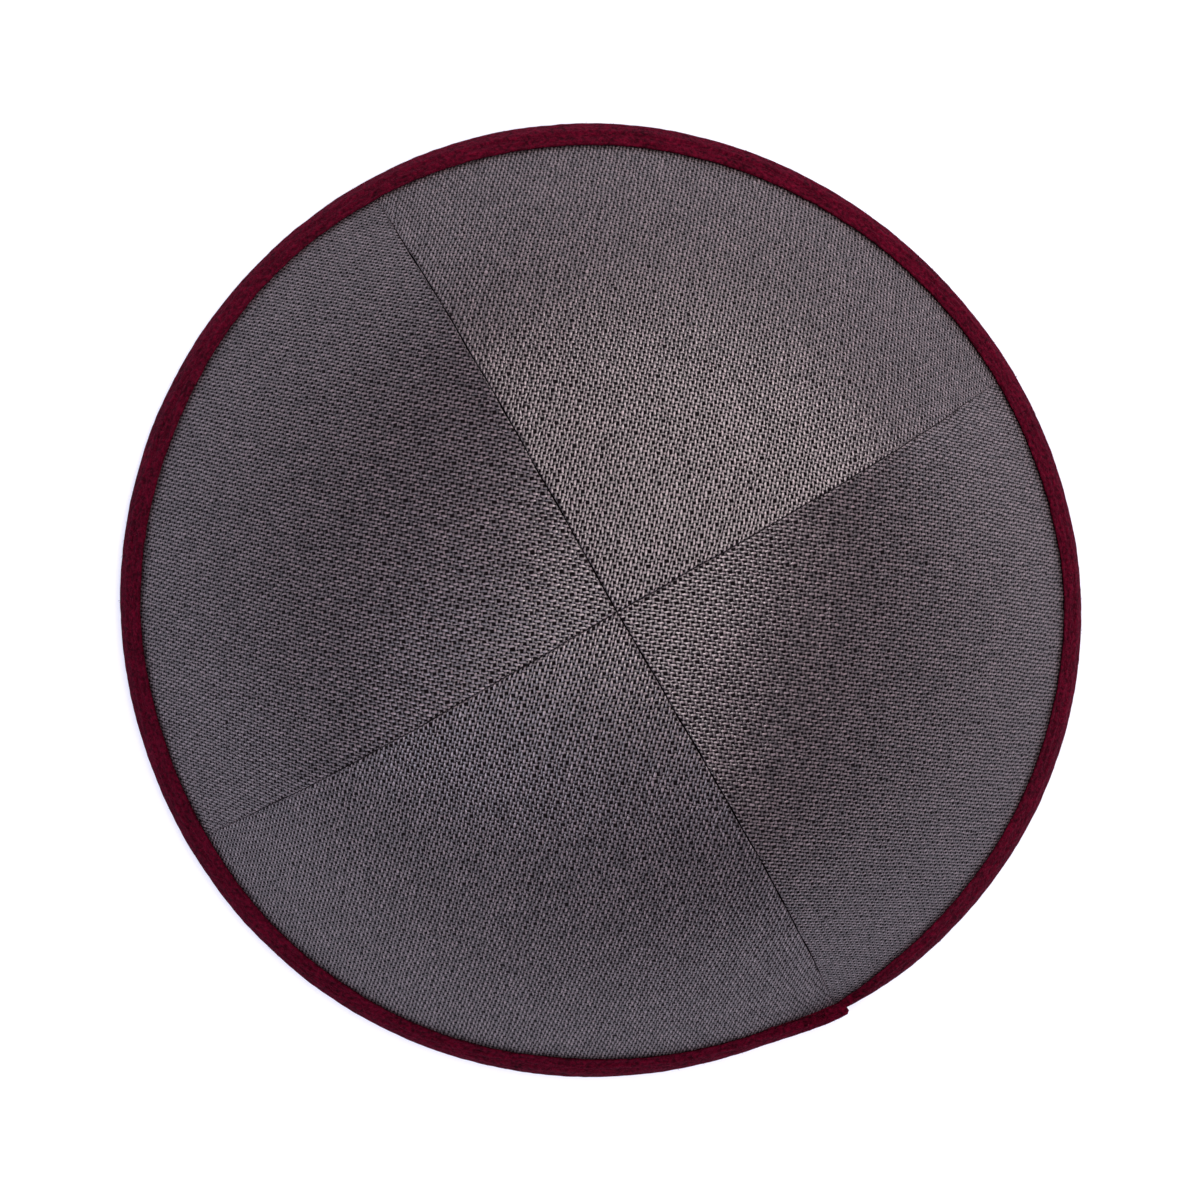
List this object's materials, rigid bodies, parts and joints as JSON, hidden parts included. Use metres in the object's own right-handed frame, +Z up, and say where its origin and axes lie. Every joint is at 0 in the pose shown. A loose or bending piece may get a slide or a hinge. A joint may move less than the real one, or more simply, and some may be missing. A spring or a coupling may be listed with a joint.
{
  "type": "kippah",
  "caption": "Round skullcap of linen panels sewn to a point, with a soft folded binding round the rim whose end laps over its start.",
  "frame": {"origin": "middle of the outline on the surface that the rim rests on", "axes": "+Z up through the crown, +Y towards the back panel, +X towards the right panel; the lap in the binding lies front right"},
  "size_m": [0.1626, 0.1612, 0.0552],
  "materials": {
    "linen": "plain-weave linen, charcoal with a mauve tint, matt, thread crowns lighter than the gaps",
    "binding": "burgundy brushed felt-like strip, matt, short soft nap, one row of matching stitches"
  },
  "bodies": {
    "root": {"panel_back": "linen", "panel_left": "linen", "panel_front": "linen", "panel_right": "linen", "binding": "binding"}
  },
  "joints": []
}
